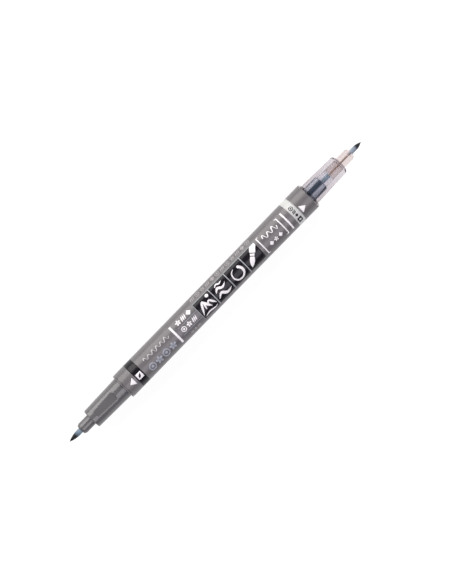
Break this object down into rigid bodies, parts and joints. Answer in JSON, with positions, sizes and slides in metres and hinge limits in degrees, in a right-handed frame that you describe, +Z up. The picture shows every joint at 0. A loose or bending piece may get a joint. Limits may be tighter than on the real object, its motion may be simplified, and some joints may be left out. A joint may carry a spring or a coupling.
{
  "type": "calligraphy marker",
  "caption": "Double-ended calligraphy marker with a long round printed barrel, an opaque and a clear grip, and a flexible pointed brush nib at each end.",
  "frame": {"origin": "under the middle of the pen, on the plane that the barrel lies on", "axes": "+X along the pen towards the grey-ink end, +Z up through the printed side, +Y across it"},
  "size_m": [0.1612, 0.0116, 0.0116],
  "materials": {
    "barrel": "satin warm grey moulded plastic with glossy print",
    "dark_grip": "glossy dark grey moulded plastic",
    "clear_grip": "clear, slightly smoky moulded plastic",
    "nib": "ink-stained flexible brush nib, blue-grey at the root",
    "plug_plastic": "plain off-white moulded plastic",
    "ink_fibre": "ink-soaked bundled fibre",
    "film": "thin clear film"
  },
  "bodies": {
    "pen": {"barrel": "barrel", "centre_divider": "plug_plastic", "black_end_ring": "barrel", "black_grip": "dark_grip", "black_nib_holder": "dark_grip", "black_rear_stop": "plug_plastic", "black_reservoir": "ink_fibre", "black_reservoir_film": "film", "black_relay": "ink_fibre", "black_relay_sleeve": "film", "black_feed": "ink_fibre", "grey_end_ring": "clear_grip", "grey_grip": "clear_grip", "grey_nib_holder": "clear_grip", "grey_rear_stop": "plug_plastic", "grey_reservoir": "ink_fibre", "grey_reservoir_film": "film", "grey_relay": "ink_fibre", "grey_relay_sleeve": "film", "grey_feed": "ink_fibre"},
    "black_nib": {"black_nib": "nib"},
    "grey_nib": {"grey_nib": "nib"}
  },
  "joints": [
    {"name": "black_nib_flex", "type": "hinge", "parent": "pen", "child": "black_nib", "pos_m": [-0.07436, 0, 0.00578], "axis": [0, 1, 0], "range_deg": [-12, 12], "stiffness_Nm_per_rad": 0.008},
    {"name": "grey_nib_flex", "type": "hinge", "parent": "pen", "child": "grey_nib", "pos_m": [0.07455, 0, 0.00578], "axis": [0, 1, 0], "range_deg": [-12, 12], "stiffness_Nm_per_rad": 0.008}
  ]
}
